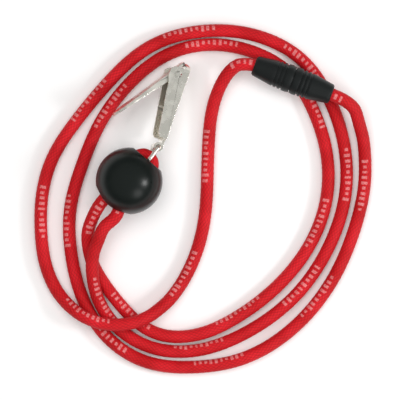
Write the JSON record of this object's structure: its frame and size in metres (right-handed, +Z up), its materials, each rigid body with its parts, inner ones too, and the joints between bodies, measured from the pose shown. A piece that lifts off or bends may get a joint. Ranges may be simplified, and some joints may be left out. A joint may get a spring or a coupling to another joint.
{
  "type": "neck lanyard",
  "caption": "Round-cord neck lanyard lying coiled, with a ball joining its strands, a breakaway barrel coupling and a bulldog clip on a wire link.",
  "frame": {"origin": "centre of the coil's footprint on the table", "axes": "+Z up from the table, +Y along the coil's longer way, towards its top"},
  "size_m": [0.118, 0.1222, 0.0233],
  "materials": {
    "cord": "glossy braided polyester, red with pale tick marks",
    "black_plastic": "fine moulded texture",
    "ball_plastic": "polished black",
    "ferrule_brass": "plain drawn tube",
    "crimp_aluminium": "pressed",
    "nickel": "bright nickel plate",
    "spring_steel": "drawn wire"
  },
  "bodies": {
    "coil": {"coil_cord": "cord", "coupling_socket": "black_plastic", "socket_ferrule": "ferrule_brass", "ball_shell_upper": "ball_plastic", "ball_shell_lower": "ball_plastic", "ball_crimp": "crimp_aluminium"},
    "lead": {"lead_cord": "cord"},
    "plug": {"coupling_plug": "black_plastic", "plug_ferrule": "ferrule_brass", "plug_cord_end": "cord"},
    "link": {"clip_link": "nickel"},
    "clip": {"clip_body": "nickel", "clip_pin": "nickel", "clip_spring": "spring_steel"},
    "lever": {"clip_lever": "nickel"}
  },
  "joints": [
    {"name": "coupling_release", "type": "hinge", "parent": "coil", "child": "lead", "pos_m": [-0.0158, -0.039, 0.0051], "axis": [0, 0, 1], "range_deg": [0, 4.4]},
    {"name": "plug_wrist", "type": "hinge", "parent": "lead", "child": "plug", "pos_m": [0.01785, 0.04655, 0.00965], "axis": [0, 0, 1], "range_deg": [-4.4, 0]},
    {"name": "link_lift", "type": "hinge", "parent": "coil", "child": "link", "pos_m": [-0.01867, 0.01482, 0.01106], "axis": [0.7562, -0.6345, -0.1598], "range_deg": [0, 40]},
    {"name": "clip_fold", "type": "hinge", "parent": "link", "child": "clip", "pos_m": [-0.0161, 0.01807, 0.01036], "axis": [0.2299, 0.029, 0.9728], "range_deg": [-6, 0]},
    {"name": "lever_press", "type": "hinge", "parent": "clip", "child": "lever", "pos_m": [-0.00973, 0.04317, 0.00811], "axis": [0.2299, 0.029, 0.9728], "range_deg": [0, 24], "deforming": ["clip_spring"]}
  ],
  "couplings": [
    {"joint": "plug_wrist", "follows": "coupling_release", "ratio": -1}
  ]
}
